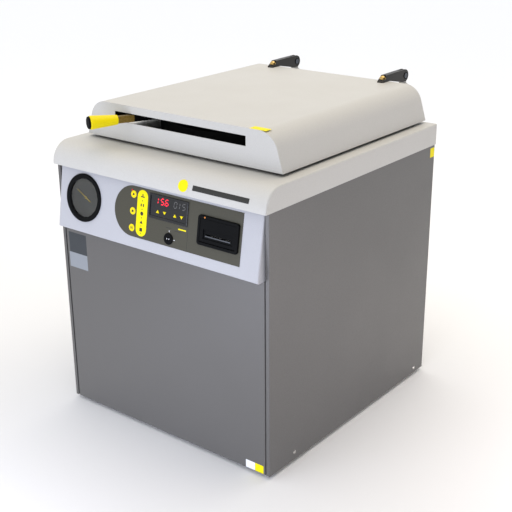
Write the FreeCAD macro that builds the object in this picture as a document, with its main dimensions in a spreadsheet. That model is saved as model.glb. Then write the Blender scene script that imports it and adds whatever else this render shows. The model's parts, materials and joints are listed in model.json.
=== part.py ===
"""Benchtop top-loading autoclave: a parametric model of its cabinet, chamber, lid and controls.

Frame: +Z up, front towards -Y, origin on the worktop under the middle of the whole object.
All lengths are millimetres and all angles degrees.
"""
import FreeCAD, Part
import math
import os
import Sketcher

Vector = FreeCAD.Vector
Rotation = FreeCAD.Rotation

SIZES = [
    # cabinet of folded sheet on four rubber feet
    ("cab_wide", 560), ("cab_deep", 600), ("cab_tall", 548), ("panel_thick", 1.5),
    ("origin_back", 37.5), ("foot_tall", 8), ("foot_rad", 18), ("foot_inset", 42),
    ("return_wide", 8), ("groove_wide", 3), ("front_gap", 1), ("pan_deep", 22),
    ("tray_tall", 26), ("tray_thick", 2), ("post_side", 15),
    ("louvre_wide", 70), ("louvre_tall", 5), ("louvre_step", 14),
    # top cover with its rounded nose
    ("cover_lift", 1), ("cover_tall", 46), ("cover_over", 1.6), ("cover_nose", 11),
    ("cover_rear", 4), ("cover_thick", 2), ("nose_rad", 44.5), ("cover_clear", 6), ("cover_edge", 3),
    # sloping fascia below the nose
    ("fascia_gap", 0), ("fascia_slope", 133.8), ("fascia_lean", 22), ("fascia_proud", 20),
    ("fascia_wall", 3), ("fascia_top", 8), ("fascia_low", 29.6), ("fascia_round", 3),
    ("overlay_thick", 0.8), ("overlay_right", 223.5), ("overlay_mid", 74.2), ("overlay_end", 50.9),
    ("overlay_bend", 54.4),
    ("strip_mid", 29.5), ("strip_half", 14), ("strip_low", 42), ("strip_high", 107), ("strip_thick", 0.5),
    ("led_rad", 1.7), ("led_left", 59), ("led_up", 115),
    ("disp_left", 11), ("disp_right", 90.5), ("disp_low", 71), ("disp_high", 120),
    ("disp_proud", 3), ("disp_deep", 12), ("disp_lip", 3.5),
    ("key_rad", 7.5), ("key_gap", 0.2), ("key_proud", 1.2), ("key_side", 55),
    ("arrow_rad", 3.9), ("arrow_gap", 0.7), ("arrow_up", 86.5),
    ("switch_x", 45.5), ("switch_up", 38.8), ("switch_rad", 11.5), ("barrel_rad", 7), ("switch_deep", 18),
    ("gauge_left", 195.5), ("gauge_up", 74.5), ("gauge_rad", 50), ("gauge_view", 40), ("gauge_body", 46.5),
    ("gauge_proud", 4), ("gauge_sink", 7), ("needle_long", 30), ("needle_turn", 153.3),
    ("print_left", 118.5), ("print_right", 218), ("print_low", 45), ("print_high", 103),
    ("print_proud", 5.2), ("print_rim", 6), ("print_deep", 48), ("roll_rad", 17), ("roll_long", 58),
    # pressure chamber and its bayonet ring
    ("chamber_y", 28), ("chamber_rad", 160), ("chamber_wall", 3), ("chamber_floor", 160),
    ("chamber_dish", 46), ("neck_wall", 8), ("neck_tall", 54), ("seal_rise", 11),
    ("lug_deep", 22), ("lug_tall", 12), ("lug_angle", 36), ("jacket_thick", 32), ("jacket_rise", 42),
    ("jacket_clear", 3),
    ("heater_clear", 45), ("heater_tube", 5), ("plate_clear", 20),
    # lid with its turning lock ring
    ("lid_gap", 6), ("lid_tall", 74.6), ("lid_wide", 514), ("lid_front", 228), ("lid_rear", 294),
    ("lid_lean", 22.8), ("lid_round", 44), ("lid_thick", 1.5),
    ("slot_wide", 340), ("slot_tall", 20), ("slot_rise", 39),
    ("ring_clear", 6), ("ring_thick", 6), ("ring_lug_clear", 14), ("ring_lug_tall", 14),
    ("ring_lug_angle", 34),
    ("bore_step", 10), ("ring_turn", 49), ("press_over", 8),
    ("lever_angle", 26.57), ("lever_rise", 50), ("lever_tall", 14), ("lever_broad", 10),
    ("lever_inset", 20), ("grip_start", 313), ("grip_end", 377), ("grip_small", 10), ("grip_big", 14),
    # hinge arms and posts
    ("hinge_y", 366), ("hinge_rise", 1.4), ("arm_out", 160), ("arm_wide", 14), ("arm_eye", 14),
    ("arm_tip", 267), ("arm_slot", 6), ("pin_rad", 5), ("pin_gap", 0.05), ("tongue_eye", 11),
    ("base_wide", 56), ("base_thick", 5),
    # services on the rear panel
    ("drain_x", 150), ("drain_z", 75), ("drain_bore", 7.5), ("vent_x", 90), ("vent_z", 75),
    ("vent_bore", 5), ("inlet_x", 190), ("inlet_z", 80),
]

doc = FreeCAD.newDocument("benchtop_autoclave")
sheet = doc.addObject("Spreadsheet::Sheet", "dims")
for row, (alias, number) in enumerate(SIZES, start=1):
    sheet.set("A%d" % row, alias)
    sheet.set("B%d" % row, str(number))
    sheet.setAlias("B%d" % row, alias)
doc.recompute()


class Size:
    """A length that keeps both its value and the sheet expression it comes from."""

    def __init__(self, value, text):
        self.value = value
        self.text = text

    def __add__(self, other):
        other = size(other)
        return Size(self.value + other.value, "(%s + %s)" % (self.text, other.text))

    def __sub__(self, other):
        other = size(other)
        return Size(self.value - other.value, "(%s - %s)" % (self.text, other.text))

    def __mul__(self, other):
        other = size(other)
        return Size(self.value * other.value, "(%s * %s)" % (self.text, other.text))

    def __truediv__(self, other):
        other = size(other)
        return Size(self.value / other.value, "(%s / %s)" % (self.text, other.text))

    def __neg__(self):
        return Size(-self.value, "(0 - %s)" % self.text)

    def __radd__(self, other):
        return size(other) + self

    def __rsub__(self, other):
        return size(other) - self


def size(thing):
    """Turn a plain number into a Size; a Size stays as it is."""
    if isinstance(thing, Size):
        return thing
    return Size(float(thing), "(%.6f)" % thing)


class Dims:
    """Every sheet cell as an attribute."""

    def __getattr__(self, alias):
        return Size(float(sheet.get(alias)), "dims.%s" % alias)


D = Dims()


def bind(thing, name, amount):
    """Set a property from a Size and tie it to the sheet."""
    amount = size(amount)
    if not name.startswith("Constraints") and "." not in name:
        setattr(thing, name, amount.value)
    if "dims." in amount.text:
        thing.setExpression(name, amount.text)


# ---------------------------------------------------------------- sketch and feature helpers

parts = []


def new_body(label):
    """A PartDesign body that becomes the sub-part of that name."""
    body = doc.addObject("PartDesign::Body", label)
    body.Label = label
    parts.append(body)
    return body


def new_sketch(body, role, lift=0):
    """A sketch on one of the body's own origin planes, lifted along its normal."""
    sketch = body.newObject("Sketcher::SketchObject", body.Name + "_sketch")
    plane = [item for item in body.Origin.OriginFeatures if item.Role == role][0]
    sketch.AttachmentSupport = (plane, [""])
    sketch.MapMode = "FlatFace"
    lift = size(lift)
    sketch.AttachmentOffset = FreeCAD.Placement(Vector(0, 0, lift.value), Rotation())
    bind(sketch, "AttachmentOffset.Base.z", lift)
    return sketch


def locate(sketch, geometry, vertex, across, up):
    """Fix a point of the sketch by its signed distances from the origin."""
    for kind, axis, amount in (("DistanceX", -2, size(across)), ("DistanceY", -1, size(up))):
        if "dims." not in amount.text and abs(amount.value) < 1e-9:
            sketch.addConstraint(Sketcher.Constraint("PointOnObject", geometry, vertex, axis))
            continue
        index = sketch.addConstraint(Sketcher.Constraint(kind, -1, 1, geometry, vertex, amount.value))
        bind(sketch, "Constraints[%d]" % index, amount)


def polygon(sketch, corners):
    """A closed outline through the corners, every corner tied to the sheet."""
    corners = [(size(across), size(up)) for across, up in corners]
    first = sketch.GeometryCount
    count = len(corners)
    for index in range(count):
        start = corners[index]
        end = corners[(index + 1) % count]
        sketch.addGeometry(Part.LineSegment(Vector(start[0].value, start[1].value, 0),
                                            Vector(end[0].value, end[1].value, 0)))
    for index in range(count):
        following = first + (index + 1) % count
        sketch.addConstraint(Sketcher.Constraint("Coincident", first + index, 2, following, 1))
    for index, (across, up) in enumerate(corners):
        locate(sketch, first + index, 1, across, up)


def rectangle(sketch, left, low, right, high):
    polygon(sketch, [(left, low), (right, low), (right, high), (left, high)])


def circle(sketch, across, up, radius):
    across = size(across)
    up = size(up)
    radius = size(radius)
    index = sketch.addGeometry(Part.Circle(Vector(across.value, up.value, 0), Vector(0, 0, 1), radius.value))
    locate(sketch, index, 3, across, up)
    ring = sketch.addConstraint(Sketcher.Constraint("Radius", index, radius.value))
    bind(sketch, "Constraints[%d]" % ring, radius)


def pad(body, sketch, length, symmetric=False, backwards=False):
    feature = body.newObject("PartDesign::Pad", body.Name + "_pad")
    feature.Profile = sketch
    bind(feature, "Length", length)
    if symmetric:
        feature.SideType = "Symmetric"
    feature.Reversed = backwards
    doc.recompute()
    return feature


def pocket(body, sketch, length=None, symmetric=False, backwards=False):
    """Cut the sketch out of the body and make sure that something was removed."""
    before = body.Shape.Volume
    feature = body.newObject("PartDesign::Pocket", body.Name + "_pocket")
    feature.Profile = sketch
    if length is None:
        feature.Type = "ThroughAll"
    else:
        bind(feature, "Length", length)
    if symmetric:
        feature.SideType = "Symmetric"
    feature.Reversed = backwards
    doc.recompute()
    if body.Shape.Volume > before - 1e-3:
        raise RuntimeError("a pocket of %s cuts nothing" % body.Label)
    return feature


def revolve(body, sketch, angle=360, symmetric=False, axis="V_Axis"):
    feature = body.newObject("PartDesign::Revolution", body.Name + "_revolution")
    feature.Profile = sketch
    feature.ReferenceAxis = (sketch, [axis])
    bind(feature, "Angle", angle)
    feature.Midplane = symmetric
    doc.recompute()
    return feature


def fillet(body, radius, chosen):
    """Round the edges of the body's tip for which chosen(bounding box) is true."""
    base = body.Tip
    names = []
    for index, edge in enumerate(base.Shape.Edges, start=1):
        if chosen(edge.BoundBox):
            names.append("Edge%d" % index)
    if not names:
        raise RuntimeError("no edge to round on %s" % body.Label)
    feature = body.newObject("PartDesign::Fillet", body.Name + "_fillet")
    feature.Base = (base, names)
    bind(feature, "Radius", radius)
    doc.recompute()
    return feature


def around(body, feature, count, axis="Z_Axis"):
    """Repeat a feature round one of the body's own axes."""
    pattern = body.newObject("PartDesign::PolarPattern", body.Name + "_pattern")
    pattern.Originals = [feature]
    line = [item for item in body.Origin.OriginFeatures if item.Role == axis][0]
    pattern.Axis = (line, [""])
    pattern.Angle = 360
    pattern.Occurrences = count
    body.Tip = pattern
    doc.recompute()
    return pattern


def in_rows(body, feature, axis, length, count):
    """Repeat a feature along one of the body's own axes."""
    pattern = body.newObject("PartDesign::LinearPattern", body.Name + "_pattern")
    pattern.Originals = [feature]
    line = [item for item in body.Origin.OriginFeatures if item.Role == axis][0]
    pattern.Direction = (line, [""])
    bind(pattern, "Length", length)
    pattern.Occurrences = count
    body.Tip = pattern
    doc.recompute()
    return pattern


def place(thing, across=0, back=0, up=0, rotation=None):
    """Put a sub-part where it belongs, its position tied to the sheet.

    Depths are counted from the middle of the cabinet; the origin lies origin_back behind that,
    under the middle of the whole object.
    """
    spot = [size(across), size(back) - D.origin_back, size(up)]
    turn = rotation if rotation is not None else Rotation()
    thing.Placement = FreeCAD.Placement(Vector(*[value.value for value in spot]), turn)
    for letter, value in zip("xyz", spot):
        bind(thing, "Placement.Base." + letter, value)


def near(value, target):
    return abs(value - target.value) < 0.01


def tube(label, across, back, low, high, outer, inner=None):
    """An upright cylinder, hollow if an inner radius is given."""
    body = new_body(label)
    sketch = new_sketch(body, "XY_Plane")
    circle(sketch, 0, 0, outer)
    if inner is not None:
        circle(sketch, 0, 0, inner)
    pad(body, sketch, size(high) - low)
    place(body, across, back, low)
    return body


def turned(label, profile):
    """A body of revolution about its own Z axis, from (radius, height) corners."""
    body = new_body(label)
    sketch = new_sketch(body, "XZ_Plane")
    polygon(sketch, profile)
    revolve(body, sketch)
    return body


def group(label, shapes):
    """Several like pieces that belong together, joined as one sub-part."""
    node = doc.addObject("Part::MultiFuse", label)
    node.Label = label
    node.Shapes = shapes
    node.Refine = False
    doc.recompute()
    parts.append(node)
    return node


def cylinder(name, radius, length, across, back, up, rotation=None):
    """A Part cylinder used as a piece of a group."""
    item = doc.addObject("Part::Cylinder", name)
    bind(item, "Radius", radius)
    bind(item, "Height", length)
    place(item, across, back, up, rotation)
    return item


def block(name, wide, deep, tall, across, back, up):
    """A Part box used as a piece of a group, placed by its low corner."""
    item = doc.addObject("Part::Box", name)
    bind(item, "Length", wide)
    bind(item, "Width", deep)
    bind(item, "Height", tall)
    place(item, across, back, up)
    return item


# ---------------------------------------------------------------- levels that several parts share

half_wide = D.cab_wide / 2
half_deep = D.cab_deep / 2
panel_top = D.foot_tall + D.cab_tall
cover_base = panel_top + D.cover_lift
cover_top = cover_base + D.cover_tall
seal_face = cover_top + D.seal_rise
lid_base = cover_top + D.lid_gap
lid_top = lid_base + D.lid_tall
pivot_z = lid_top + D.hinge_rise
neck_base = seal_face - D.neck_tall
inside_wide = half_wide - D.panel_thick
front_reach = half_wide - D.return_wide - D.groove_wide
fascia_wide = (front_reach - D.fascia_gap) * 2

neck_rad = D.chamber_rad + D.neck_wall
lug_rad = neck_rad + D.lug_deep
press_rad = lug_rad + D.press_over
ring_in = press_rad + D.ring_clear
ring_lug = neck_rad + D.ring_lug_clear
ring_bore = D.chamber_rad - D.bore_step
cover_hole = ring_in + D.ring_thick + D.cover_clear
jacket_rad = D.chamber_rad + D.chamber_wall + D.jacket_thick
jacket_tall = neck_base - D.jacket_clear - D.chamber_floor - D.jacket_rise
heater_rad = D.chamber_rad - D.heater_clear
plate_rad = D.chamber_rad - D.plate_clear
lever_root = ring_bore + D.lever_inset

tilt = math.asin(D.fascia_lean.value / D.fascia_slope.value)
fascia_turn = Rotation(Vector(1, 0, 0), 90 - math.degrees(tilt))
fascia_rise = D.fascia_slope.value * math.cos(tilt)
front_tall = D.cab_tall - fascia_rise - D.front_gap


def on_fascia(thing, across=0, up=0, turn=0):
    """Place a sub-part on the sloping fascia: across it and up its slope from the lower edge."""
    across = size(across).value
    up = size(up).value
    spot = Vector(across,
                  -half_deep.value - D.fascia_proud.value - D.origin_back.value + up * math.sin(tilt),
                  panel_top.value - fascia_rise + up * math.cos(tilt))
    spin = Rotation(Vector(0, 0, 1), size(turn).value)
    thing.Placement = FreeCAD.Placement(spot, fascia_turn.multiply(spin))


# ---------------------------------------------------------------- cabinet

def make_feet():
    """Four short rubber feet under the base tray."""
    feet = []
    for side in (-1, 1):
        for end in (-1, 1):
            foot = doc.addObject("Part::Cone", "foot_piece")
            bind(foot, "Radius1", D.foot_rad - 3)
            bind(foot, "Radius2", D.foot_rad)
            bind(foot, "Height", D.foot_tall)
            place(foot, (half_wide - D.foot_inset) * side, (half_deep - D.foot_inset) * end, 0)
            feet.append(foot)
    group("rubber_feet", feet)


def make_base_tray():
    """Folded floor tray with upturned rims, drilled for ventilation."""
    body = new_body("base_tray")
    front = D.pan_deep - half_deep
    rear = half_deep - D.panel_thick
    outline = new_sketch(body, "XY_Plane")
    rectangle(outline, -inside_wide, front, inside_wide, rear)
    pad(body, outline, D.tray_tall)
    hollow = new_sketch(body, "XY_Plane", D.tray_thick)
    rectangle(hollow, -inside_wide + D.tray_thick, front + D.tray_thick,
              inside_wide - D.tray_thick, rear - D.tray_thick)
    pocket(body, hollow, D.tray_tall, backwards=True)
    vent = new_sketch(body, "XY_Plane")
    rectangle(vent, -half_wide + 60, -220, -half_wide + 66, -140)
    slot = pocket(body, vent, D.tray_thick * 2, backwards=True)
    in_rows(body, slot, "X_Axis", 66, 6)
    place(body, 0, 0, D.foot_tall)


def make_side_panel(label, side):
    """Side sheet whose front edge is returned round the corner of the cabinet."""
    body = new_body(label)
    edge = half_wide * side
    inner = inside_wide * side
    lip = (half_wide - D.return_wide) * side
    outline = new_sketch(body, "XY_Plane")
    polygon(outline, [(edge, -half_deep), (edge, half_deep), (inner, half_deep),
                      (inner, -half_deep + D.panel_thick), (lip, -half_deep + D.panel_thick),
                      (lip, -half_deep)])
    pad(body, outline, D.cab_tall)
    fillet(body, 0.9, lambda box: box.ZLength > 100 and near(abs(box.XMin), half_wide)
           and near(box.YMin, -half_deep))
    place(body, 0, 0, D.foot_tall)


def make_front_panel():
    """Removable front pan, set between the side panels with a narrow groove each side."""
    body = new_body("front_panel")
    reach = front_reach
    outline = new_sketch(body, "XY_Plane")
    rectangle(outline, -reach, -half_deep, reach, -half_deep + D.pan_deep)
    pad(body, outline, front_tall)
    hollow = new_sketch(body, "XZ_Plane", half_deep - D.panel_thick)
    rectangle(hollow, -reach + D.panel_thick, D.panel_thick, reach - D.panel_thick,
              front_tall - D.panel_thick)
    pocket(body, hollow, D.pan_deep * 2)
    fillet(body, 1.2, lambda box: box.YLength < 0.01 and near(box.YMin, -half_deep))
    place(body, 0, 0, D.foot_tall)


def make_rear_panel():
    """Rear sheet with louvres and openings for the services."""
    body = new_body("rear_panel")
    sheet_plane = new_sketch(body, "XZ_Plane", -half_deep)
    rectangle(sheet_plane, -inside_wide, D.foot_tall, inside_wide, panel_top)
    pad(body, sheet_plane, D.panel_thick)
    low = new_sketch(body, "XZ_Plane", -half_deep)
    rectangle(low, -D.louvre_wide * 1.5, 330, -D.louvre_wide * 0.5, D.louvre_tall + 330)
    first = pocket(body, low, D.panel_thick * 2, backwards=True)
    in_rows(body, first, "Z_Axis", D.louvre_step * 9, 10)
    other = new_sketch(body, "XZ_Plane", -half_deep)
    rectangle(other, D.louvre_wide * 0.5, 330, D.louvre_wide * 1.5, D.louvre_tall + 330)
    second = pocket(body, other, D.panel_thick * 2, backwards=True)
    in_rows(body, second, "Z_Axis", D.louvre_step * 9, 10)
    holes = new_sketch(body, "XZ_Plane", -half_deep)
    circle(holes, -D.drain_x, D.drain_z, 14)
    circle(holes, -D.vent_x, D.vent_z, 11)
    rectangle(holes, D.inlet_x - 24, D.inlet_z - 16, D.inlet_x + 24, D.inlet_z + 16)
    pocket(body, holes, D.panel_thick * 2, backwards=True)
    place(body)


def make_corner_posts():
    """Four corner posts: flat bars behind the front grooves and square bars at the rear."""
    front_wide = D.return_wide + D.groove_wide - D.panel_thick
    front_deep = D.pan_deep - D.panel_thick * 2
    rear_edge = half_deep - D.panel_thick - D.tray_thick - D.post_side
    reach = front_reach
    rear_tall = cover_top - D.cover_thick - D.foot_tall - D.tray_thick
    post_tall = cover_base - D.foot_tall
    pieces = []
    for side in (-1, 1):
        front_low = reach if side > 0 else -reach - front_wide
        rear_low = inside_wide - D.tray_thick - D.post_side if side > 0 else D.tray_thick - inside_wide
        pieces.append(block("front_post_piece", front_wide, front_deep, post_tall,
                            front_low, -half_deep + D.panel_thick * 2, D.foot_tall))
        pieces.append(block("rear_post_piece", D.post_side, D.post_side, rear_tall,
                            rear_low, rear_edge, D.foot_tall + D.tray_thick))
    group("corner_posts", pieces)


def make_panel_screws():
    """Domed screws near the lower edge of each side panel."""
    pieces = []
    for side in (-1, 1):
        turn = Rotation(Vector(0, 1, 0), 90 * side)
        for back, up in ((-217, 25), (261, 20)):
            head = doc.addObject("Part::Cone", "screw_piece")
            head.Radius1 = 4.2
            head.Radius2 = 2.6
            head.Height = 1.5
            place(head, half_wide * side, back, up, turn)
            pieces.append(head)
    group("panel_screws", pieces)


def make_top_cover():
    """Deep-drawn cover whose front rolls over into a nose and whose top opens over the chamber."""
    body = new_body("top_cover")
    front = -half_deep - D.cover_nose
    rear = half_deep + D.cover_rear
    wide = D.cab_wide + D.cover_over * 2
    outline = new_sketch(body, "YZ_Plane")
    rectangle(outline, front, 0, rear, D.cover_tall)
    pad(body, outline, wide, symmetric=True)
    fillet(body, D.nose_rad, lambda box: near(box.YMin, front) and near(box.YMax, front)
           and near(box.ZMin, D.cover_tall))
    fillet(body, D.cover_edge, lambda box: (near(box.ZMax, D.cover_tall) and box.ZLength < 46.1
                                            and near(abs(box.XMin), wide / 2) and box.XLength < 0.01
                                            and box.YMax > front.value + 0.1)
           or (near(box.YMin, rear) and near(box.ZMin, D.cover_tall)))
    hollow = new_sketch(body, "YZ_Plane")
    thick = D.cover_thick
    bend = D.nose_rad
    soft = bend * 0.293 + thick * 0.7
    polygon(hollow, [(front + thick, -1), (rear - thick, -1), (rear - thick, D.cover_tall - thick),
                     (front + bend, D.cover_tall - thick),
                     (front + soft + 9.5, D.cover_tall - soft + 5.5),
                     (front + soft, D.cover_tall - soft),
                     (front + soft - 5.5, D.cover_tall - soft - 9.5),
                     (front + thick, D.cover_tall - bend)])
    pocket(body, hollow, wide - thick * 2, symmetric=True)
    mouth = new_sketch(body, "XY_Plane")
    circle(mouth, 0, D.chamber_y, cover_hole)
    pocket(body, mouth, D.cover_tall * 2, backwards=True)
    place(body, 0, 0, cover_base)


# ---------------------------------------------------------------- fascia and controls

def make_fascia_housing():
    """Moulded wedge under the nose, open at the back and pierced for every control."""
    body = new_body("fascia_housing")
    slope = D.fascia_slope
    wall = D.fascia_wall
    outline = new_sketch(body, "YZ_Plane")
    polygon(outline, [(0, 0), (slope, 0), (slope, -D.fascia_top), (5, -D.fascia_low)])
    pad(body, outline, fascia_wide, symmetric=True)
    fillet(body, D.fascia_round, lambda box: (box.ZLength < 0.01 and abs(box.ZMax) < 0.01)
           and (box.XLength < 0.01 or box.YMax < 0.01))
    hollow = new_sketch(body, "YZ_Plane")
    polygon(hollow, [(wall + 3, -wall), (slope - wall, -wall), (slope - wall, -60), (wall + 8, -60)])
    pocket(body, hollow, fascia_wide - wall * 2, symmetric=True)
    cuts = new_sketch(body, "XY_Plane")
    circle(cuts, -D.gauge_left, D.gauge_up, D.gauge_body)
    circle(cuts, D.switch_x, D.switch_up, D.switch_rad - 2)
    for key_up in KEY_HEIGHTS:
        circle(cuts, -D.key_side, key_up, D.key_rad + D.key_gap)
    rectangle(cuts, -D.disp_left, D.disp_low, D.disp_right, D.disp_high)
    rectangle(cuts, D.print_left + 4, D.print_low + 4, D.print_right - 4, D.print_high - 4)
    pocket(body, cuts, wall * 2)
    on_fascia(body)


KEY_HEIGHTS = (108.4, 74.6, 40.6)
ARROW_KEYS = (("arrow_key_a", 12.8, 1), ("arrow_key_b", 30.7, -1),
              ("arrow_key_c", 57.9, 1), ("arrow_key_d", 75.1, -1))


def make_overlay():
    """Flat dark label panel with a half-round left end, holes for the keys and modules."""
    body = new_body("overlay_panel")
    low = D.overlay_mid - D.overlay_end
    high = D.overlay_mid + D.overlay_end
    straight = new_sketch(body, "XY_Plane")
    rectangle(straight, -D.overlay_bend, low, D.overlay_right, high)
    pad(body, straight, D.overlay_thick)
    rounded = new_sketch(body, "XY_Plane")
    circle(rounded, -D.overlay_bend, D.overlay_mid, D.overlay_end)
    pad(body, rounded, D.overlay_thick)
    cuts = new_sketch(body, "XY_Plane")
    circle(cuts, D.switch_x, D.switch_up, D.switch_rad - 2)
    for key_up in KEY_HEIGHTS:
        circle(cuts, -D.key_side, key_up, D.key_rad + D.key_gap)
    rectangle(cuts, -D.disp_left, D.disp_low, D.disp_right, D.disp_high)
    rectangle(cuts, D.print_left + 4, D.print_low + 4, D.print_right - 4, D.print_high - 4)
    pocket(body, cuts, D.overlay_thick * 2, backwards=True)
    on_fascia(body)


def make_indicator_strip():
    """Raised yellow strip with rounded ends that carries the stage symbols."""
    body = new_body("indicator_strip")
    flat = new_sketch(body, "XY_Plane", D.overlay_thick)
    rectangle(flat, -D.strip_mid - D.strip_half, D.strip_low, D.strip_half - D.strip_mid, D.strip_high)
    pad(body, flat, D.strip_thick)
    for height in (D.strip_low, D.strip_high):
        end = new_sketch(body, "XY_Plane", D.overlay_thick)
        circle(end, -D.strip_mid, height, D.strip_half)
        pad(body, end, D.strip_thick)
    on_fascia(body)


def make_status_led():
    """Small domed lamp beside the top key."""
    body = new_body("status_led")
    round_base = new_sketch(body, "XY_Plane", D.overlay_thick)
    circle(round_base, -D.led_left, D.led_up + 1.5, D.led_rad)
    pad(body, round_base, 0.9)
    on_fascia(body)


def triangle(sketch, across, up, radius, way):
    """An upright or inverted triangle with its centre at (across, up)."""
    polygon(sketch, [(size(across) - radius, size(up) - radius * 0.7 * way),
                     (size(across) + radius, size(up) - radius * 0.7 * way),
                     (size(across), size(up) + radius * 0.8 * way)])


def make_display():
    """Controller module: dark bezel, smoked window and pockets for four arrow keys."""
    body = new_body("display_bezel")
    lip = D.disp_lip
    outline = new_sketch(body, "XY_Plane", -D.disp_deep)
    rectangle(outline, -D.disp_left, D.disp_low, D.disp_right, D.disp_high)
    pad(body, outline, D.disp_deep + D.disp_proud)
    fillet(body, 1.2, lambda box: near(box.ZMin, D.disp_proud))
    recess = new_sketch(body, "XY_Plane", D.disp_proud)
    rectangle(recess, lip - D.disp_left, D.disp_low + lip + 2, D.disp_right - lip, D.disp_high - lip)
    pocket(body, recess, 1.5)
    window = new_sketch(body, "XY_Plane", D.disp_proud)
    rectangle(window, lip + 2 - D.disp_left, D.disp_high - 20, D.disp_right - lip - 2,
              D.disp_high - lip - 1)
    pocket(body, window, 3)
    keys = new_sketch(body, "XY_Plane", D.disp_proud)
    for name, across, way in ARROW_KEYS:
        triangle(keys, across, D.arrow_up, D.arrow_rad + D.arrow_gap, way)
    pocket(body, keys, 7)
    back = new_sketch(body, "XY_Plane", -D.disp_deep)
    rectangle(back, 2 - D.disp_left, D.disp_low + 2, D.disp_right - 2, D.disp_high - 2)
    pocket(body, back, 9, backwards=True)
    on_fascia(body)

    pane = new_body("display_window")
    outline = new_sketch(pane, "XY_Plane", D.disp_proud - 3)
    rectangle(outline, lip + 2 - D.disp_left, D.disp_high - 20, D.disp_right - lip - 2,
              D.disp_high - lip - 1)
    pad(pane, outline, 1.4)
    on_fascia(pane)

    for name, across, way in ARROW_KEYS:
        key = new_body(name)
        cap = new_sketch(key, "XY_Plane", -2)
        triangle(cap, across, D.arrow_up, D.arrow_rad, way)
        pad(key, cap, D.disp_proud + 1.4)
        on_fascia(key)


def make_round_keys():
    """Three round push keys, each with a shoulder behind the fascia wall."""
    for name, key_up in zip(("round_key_top", "round_key_middle", "round_key_bottom"), KEY_HEIGHTS):
        body = new_body(name)
        cap = new_sketch(body, "XY_Plane", -D.fascia_wall - 0.2)
        circle(cap, -D.key_side, key_up, D.key_rad)
        pad(body, cap, D.fascia_wall + 0.2 + D.key_proud)
        fillet(body, 0.8, lambda box: near(box.ZMin, D.key_proud) and box.ZLength < 0.01)
        shoulder = new_sketch(body, "XY_Plane", -D.fascia_wall - 2.2)
        circle(shoulder, -D.key_side, key_up, D.key_rad + 1.5)
        pad(body, shoulder, 2)
        on_fascia(body)


def make_key_switch():
    """Round key switch: a fixed collar and a turning barrel with its key slot."""
    rad = D.switch_rad
    inner = D.barrel_rad + D.pin_gap
    front = D.overlay_thick
    collar = turned("key_switch_collar", [(inner, -D.switch_deep), (rad - 2, -D.switch_deep),
                                          (rad - 2, front), (rad, front), (rad, front + 1.6),
                                          (rad - 1, front + 2.6), (inner, front + 2.6)])
    on_fascia(collar, D.switch_x, D.switch_up)
    barrel = new_body("key_switch_barrel")
    outline = new_sketch(barrel, "XY_Plane", -D.switch_deep)
    circle(outline, 0, 0, D.barrel_rad)
    pad(barrel, outline, D.switch_deep + 3.1)
    slot = new_sketch(barrel, "XY_Plane", 3.1)
    rectangle(slot, -0.9, -3.6, 0.9, 3.6)
    pocket(barrel, slot, 8)
    mark = new_sketch(barrel, "XY_Plane", 3.1)
    rectangle(mark, -0.5, 4.6, 0.5, 6.4)
    pocket(barrel, mark, 0.5)
    on_fascia(barrel, D.switch_x, D.switch_up)


def make_gauge():
    """Pressure gauge: deep case, dial with its pivot, pointer and glass."""
    rad = D.gauge_rad
    seat = D.gauge_view + 1.5
    floor = -D.gauge_sink
    proud = D.gauge_proud
    case = turned("gauge_case", [(0, -48), (7, -48), (7, -30), (D.gauge_body, -30), (D.gauge_body, 0),
                                 (rad, 0), (rad, proud - 1), (rad - 1, proud), (seat + 1, proud),
                                 (D.gauge_view, proud - 2), (D.gauge_view, 0.5), (seat, 0.5),
                                 (seat, floor), (0, floor)])
    on_fascia(case, -D.gauge_left, D.gauge_up)
    dial = new_body("gauge_dial")
    disc = new_sketch(dial, "XY_Plane", floor)
    circle(disc, 0, 0, seat)
    pad(dial, disc, 1)
    pin = new_sketch(dial, "XY_Plane", floor)
    circle(pin, 0, 0, 1.2)
    pad(dial, pin, 3.6)
    on_fascia(dial, -D.gauge_left, D.gauge_up)
    needle = new_body("gauge_needle")
    hub = new_sketch(needle, "XY_Plane", floor + 1.6)
    circle(hub, 0, 0, 2.7)
    pad(needle, hub, 1.4)
    pointer = new_sketch(needle, "XY_Plane", floor + 1.6)
    polygon(pointer, [(-15, -0.8), (0, -0.8), (D.needle_long, -0.3), (D.needle_long, 0.3), (0, 0.8),
                      (-15, 0.8)])
    pad(needle, pointer, 0.7)
    hole = new_sketch(needle, "XY_Plane", floor)
    circle(hole, 0, 0, D.pin_gap + 1.2)
    pocket(needle, hole, 6, backwards=True)
    on_fascia(needle, -D.gauge_left, D.gauge_up, D.needle_turn)
    glass = new_body("gauge_glass")
    pane = new_sketch(glass, "XY_Plane", -1)
    circle(pane, 0, 0, seat)
    pad(glass, pane, 1.5)
    on_fascia(glass, -D.gauge_left, D.gauge_up)


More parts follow.
